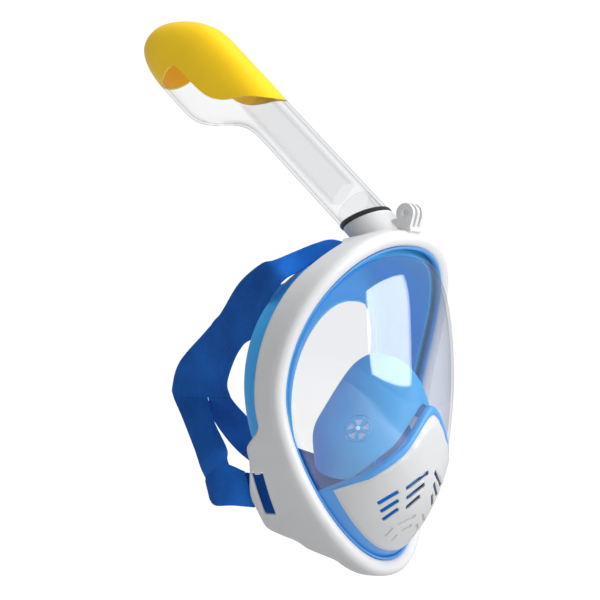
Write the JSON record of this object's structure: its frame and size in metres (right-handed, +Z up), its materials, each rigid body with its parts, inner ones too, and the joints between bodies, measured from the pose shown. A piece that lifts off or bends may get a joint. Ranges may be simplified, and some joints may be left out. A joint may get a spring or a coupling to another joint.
{
  "type": "full face snorkel mask",
  "caption": "Full face snorkel mask with a domed clear lens, silicone skirt and nose cup, vented mouth cover, tilted dry-top snorkel and elastic head straps.",
  "frame": {"origin": "middle of the face opening in the plane of symmetry, level with the widest points of the rim", "axes": "+Z up as worn, the mask looks along -Y, +X is the wearer's left"},
  "size_m": [0.2042, 0.2759, 0.4333],
  "materials": {
    "white_plastic": "satin gloss",
    "clear_plastic": "clear polished",
    "blue_silicone": "satin",
    "strap_fabric": "woven elastic",
    "yellow_plastic": "satin gloss",
    "black_rubber": "satin",
    "white_silicone": "satin",
    "float_foam": "matte"
  },
  "bodies": {
    "mask": {"face_frame": "white_plastic", "clamp_ring": "white_plastic", "lens": "clear_plastic", "lens_edge_seal": "blue_silicone", "mouth_cover": "white_plastic", "mouth_cover_seal": "blue_silicone", "face_skirt": "blue_silicone", "nose_cup": "blue_silicone", "inhale_seat_left": "blue_silicone", "inhale_seat_right": "blue_silicone", "purge_seat": "blue_silicone", "camera_mount": "white_plastic", "strap_upper_right": "strap_fabric", "strap_upper_left": "strap_fabric", "strap_back_pad": "strap_fabric", "strap_lower_right": "strap_fabric", "strap_lower_left": "strap_fabric", "strap_free_end_right": "strap_fabric"},
    "snorkel": {"snorkel_tube": "clear_plastic", "top_cap": "yellow_plastic", "neck_seal": "black_rubber", "tube_coupler": "clear_plastic", "air_duct": "clear_plastic", "float_seat": "clear_plastic", "float_cage": "clear_plastic"},
    "float": {"float_body": "float_foam", "float_pad": "white_silicone"},
    "inhale_valve_left": {"inhale_disc_left": "white_silicone"},
    "inhale_valve_right": {"inhale_disc_right": "white_silicone"},
    "purge_valve": {"purge_disc": "blue_silicone"}
  },
  "joints": [
    {"name": "snorkel_pull", "type": "slide", "parent": "mask", "child": "snorkel", "axis": [0, 0.7314, 0.682], "range_m": [0, 0.022]},
    {"name": "float_rise", "type": "slide", "parent": "snorkel", "child": "float", "axis": [0, 0.7314, 0.682], "range_m": [0, 0.0065]},
    {"name": "inhale_open_left", "type": "slide", "parent": "mask", "child": "inhale_valve_left", "axis": [-0.8583, 0.2631, -0.4406], "range_m": [0, 0.0015], "stiffness_N_per_m": 20},
    {"name": "inhale_open_right", "type": "slide", "parent": "mask", "child": "inhale_valve_right", "axis": [0.8583, 0.2631, -0.4406], "range_m": [0, 0.0015], "stiffness_N_per_m": 20},
    {"name": "purge_open", "type": "slide", "parent": "mask", "child": "purge_valve", "axis": [0, -0.9272, -0.3746], "range_m": [0, 0.0015], "stiffness_N_per_m": 20}
  ]
}
